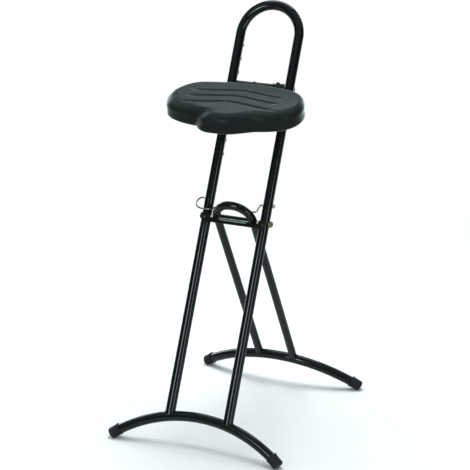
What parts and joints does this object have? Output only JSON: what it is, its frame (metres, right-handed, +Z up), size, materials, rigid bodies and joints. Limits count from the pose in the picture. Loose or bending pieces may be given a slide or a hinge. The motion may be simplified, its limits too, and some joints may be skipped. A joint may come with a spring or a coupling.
{
  "type": "sit-stand stool",
  "caption": "Folding sit-stand stool: a saddle seat hooks at several heights on a leaning tube frame with a handle loop and curved feet.",
  "frame": {"origin": "on the floor, at the middle of the footprint of the four feet", "axes": "+Z up; -Y is the front, where the seat's nose points; +X is the side of the thumb grip and the pivot nut"},
  "size_m": [0.423, 0.5224, 0.9359],
  "materials": {
    "black_paint": "gloss black powder coat",
    "black_rubber": "matt moulded rubber",
    "foam_skin": "self-skinned polyurethane foam, fine leather grain",
    "plywood": "raw plywood",
    "bright_steel": "bright zinc",
    "yellow_zinc": "pale yellow zinc",
    "pale_nylon": "natural nylon"
  },
  "bodies": {
    "front_frame": {"handle_frame_tube": "black_paint", "front_foot_tube": "black_paint", "front_left_foot_cap": "black_rubber", "front_right_foot_cap": "black_rubber", "left_height_peg_1": "black_paint", "left_height_peg_2": "black_paint", "left_height_peg_3": "black_paint", "left_height_peg_4": "black_paint", "left_height_peg_5": "black_paint", "left_height_peg_6": "black_paint", "left_height_peg_7": "black_paint", "left_height_peg_8": "black_paint", "left_height_peg_9": "black_paint", "right_height_peg_1": "black_paint", "right_height_peg_2": "black_paint", "right_height_peg_3": "black_paint", "right_height_peg_4": "black_paint", "right_height_peg_5": "black_paint", "right_height_peg_6": "black_paint", "right_height_peg_7": "black_paint", "right_height_peg_8": "black_paint", "right_height_peg_9": "black_paint", "stop_strap": "black_paint", "left_strap_screw": "black_paint", "right_strap_screw": "black_paint", "pivot_axle": "black_paint", "pivot_washer": "yellow_zinc", "pivot_nut": "yellow_zinc", "left_spacer": "pale_nylon", "right_spacer": "pale_nylon"},
    "rear_frame": {"rear_frame_tube": "black_paint", "rear_foot_tube": "black_paint", "rear_left_foot_cap": "black_rubber", "rear_right_foot_cap": "black_rubber", "axle_sleeve": "bright_steel"},
    "catch": {"wire_catch": "bright_steel", "catch_push_nut": "yellow_zinc"},
    "guide": {"guide_bar": "black_paint", "left_guide_bar_cap": "black_rubber", "right_guide_bar_cap": "black_rubber", "left_guide_sleeve": "black_rubber", "right_guide_sleeve": "black_rubber"},
    "seat": {"seat_pad": "foam_skin", "seat_board": "plywood", "seat_carrier_plate": "black_paint", "seat_screw_1": "bright_steel", "seat_screw_2": "bright_steel", "seat_screw_3": "bright_steel", "seat_screw_4": "bright_steel", "left_cheek_plate": "black_paint", "right_cheek_plate": "black_paint", "hook_bar": "black_paint", "left_hook_bar_cap": "black_rubber", "right_hook_bar_cap": "black_rubber", "thumb_grip": "black_rubber"}
  },
  "joints": [
    {"name": "fold", "type": "hinge", "parent": "front_frame", "child": "rear_frame", "pos_m": [0, -0.02948, 0.476], "axis": [-1, 0, 0], "range_deg": [0, 53.2]},
    {"name": "catch_swing", "type": "hinge", "parent": "front_frame", "child": "catch", "pos_m": [0, -0.01205, 0.51311], "axis": [1, 0, 0], "range_deg": [0, 180], "deforming": ["wire_catch"]},
    {"name": "seat_height", "type": "slide", "parent": "front_frame", "child": "guide", "axis": [0, 0.425, 0.9052], "range_m": [-0.1586, 0.09516]},
    {"name": "seat_tip", "type": "hinge", "parent": "guide", "child": "seat", "pos_m": [0, 0.05595, 0.701], "axis": [1, 0, 0], "range_deg": [-12, 2.3]}
  ],
  "couplings": [
    {"joint": "catch_swing", "follows": "fold", "ratio": 3.383}
  ]
}
